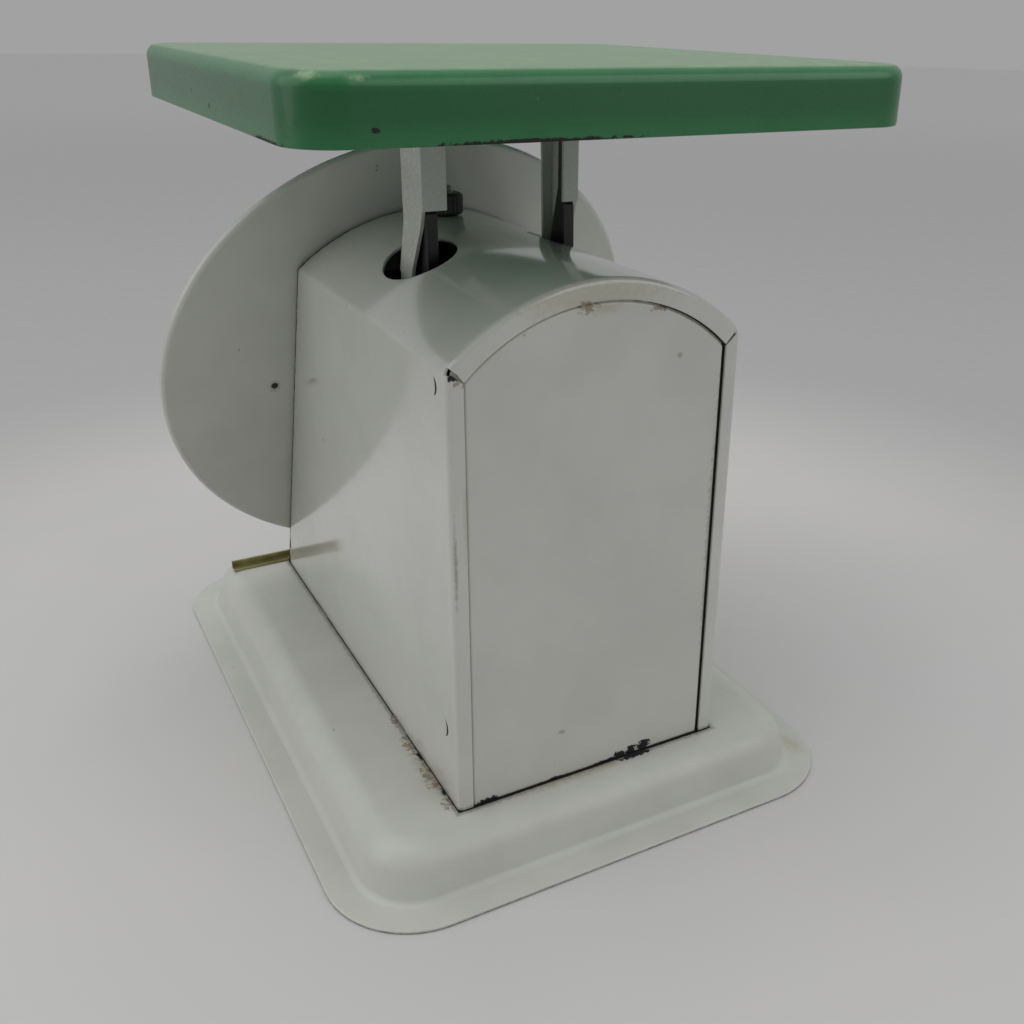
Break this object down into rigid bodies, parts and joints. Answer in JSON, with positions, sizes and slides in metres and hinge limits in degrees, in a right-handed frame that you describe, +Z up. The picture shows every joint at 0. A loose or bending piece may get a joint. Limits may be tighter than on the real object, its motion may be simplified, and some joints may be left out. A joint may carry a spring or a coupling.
{
  "type": "kitchen scale",
  "caption": "Spring kitchen scale with a square tray on two posts, an arched sheet-metal housing, a slanted round dial and a pressed base.",
  "frame": {"origin": "centre of the base pan's outline, on the surface it stands on", "axes": "+Z up, -Y towards the dial side, +X to the right when the dial is faced"},
  "size_m": [0.1852, 0.237, 0.2252],
  "materials": {
    "white_enamel": "glossy enamel, slightly aged",
    "green_enamel": "semi-gloss enamel, worn and chalky on top",
    "black_paint": "satin black",
    "zinc_plate": "dull zinc plate",
    "bright_steel": "turned",
    "brass": "tarnished",
    "chrome": "polished",
    "dial_face": "printed enamel",
    "red_paint": "gloss",
    "spring_wire": "oiled wire"
  },
  "bodies": {
    "base": {"base_pan": "white_enamel", "trim_strip": "brass", "trim_rivets": "brass", "housing_shell": "white_enamel", "back_panel": "white_enamel", "front_plate": "white_enamel", "dial_pan": "white_enamel", "dial_plate": "dial_face", "dial_rivets": "bright_steel", "pan_rivets": "bright_steel", "bezel_ring": "chrome", "front_bush": "brass", "bearing_bracket": "zinc_plate", "bracket_rivets": "bright_steel", "rack_guide": "brass", "frame_left": "zinc_plate", "frame_right": "zinc_plate", "frame_rivets": "bright_steel", "top_bridge": "zinc_plate", "bridge_rivets": "bright_steel", "frame_pins": "bright_steel"},
    "carriage": {"carriage_plate": "black_paint", "arm_left": "black_paint", "arm_right": "black_paint", "arm_rivets": "black_paint", "carriage_pins": "bright_steel", "post_left": "white_enamel", "post_right": "white_enamel", "post_rivets": "white_enamel", "tray_bracket": "white_enamel", "tray_rivets": "bright_steel", "tray": "green_enamel"},
    "pointer": {"pinion_shaft": "bright_steel", "pointer": "red_paint", "pointer_hub": "brass"},
    "rack": {"rack": "bright_steel"},
    "upper_link": {"upper_link": "zinc_plate"},
    "lower_link": {"lower_link": "zinc_plate"},
    "hanger": {"spring_hanger": "black_paint", "adjusting_rod": "bright_steel", "spring_left": "spring_wire", "spring_right": "spring_wire"},
    "zero_knob": {"zero_knob": "black_paint"}
  },
  "joints": [
    {"name": "platform_travel", "type": "slide", "parent": "base", "child": "carriage", "axis": [0, 0, -1], "range_m": [0, 0.013], "stiffness_N_per_m": 8500, "springref_m": -0.0012, "deforming": ["spring_left", "spring_right"]},
    {"name": "rack_slide", "type": "slide", "parent": "base", "child": "rack", "axis": [0, -0.3584, -0.9336], "range_m": [0, 0.0141]},
    {"name": "pointer_turn", "type": "hinge", "parent": "base", "child": "pointer", "pos_m": [0, -0.05228, 0.1098], "axis": [0, 0.9336, -0.3584], "range_deg": [0, 322]},
    {"name": "upper_link_hinge", "type": "hinge", "parent": "base", "child": "upper_link", "pos_m": [0, 0.068, 0.1195], "axis": [1, 0, 0], "range_deg": [0, 17]},
    {"name": "lower_link_hinge", "type": "hinge", "parent": "base", "child": "lower_link", "pos_m": [0, 0.068, 0.0595], "axis": [1, 0, 0], "range_deg": [0, 17]},
    {"name": "zero_knob_turn", "type": "hinge", "parent": "base", "child": "zero_knob", "pos_m": [0, -0.011, 0.1762], "axis": [0, 0, 1], "range_deg": [-360, 360]},
    {"name": "hanger_slide", "type": "slide", "parent": "base", "child": "hanger", "axis": [0, 0, 1], "range_m": [-0.00079, 0.00079], "deforming": ["spring_left", "spring_right"]}
  ],
  "couplings": [
    {"joint": "rack_slide", "follows": "platform_travel", "ratio": 1.0711},
    {"joint": "pointer_turn", "follows": "platform_travel", "rad_per_m": 428.46},
    {"joint": "upper_link_hinge", "follows": "platform_travel", "rad_per_m": 22.07},
    {"joint": "lower_link_hinge", "follows": "platform_travel", "rad_per_m": 22.07},
    {"joint": "zero_knob_turn", "follows": "hanger_slide", "rad_per_m": -7854}
  ]
}
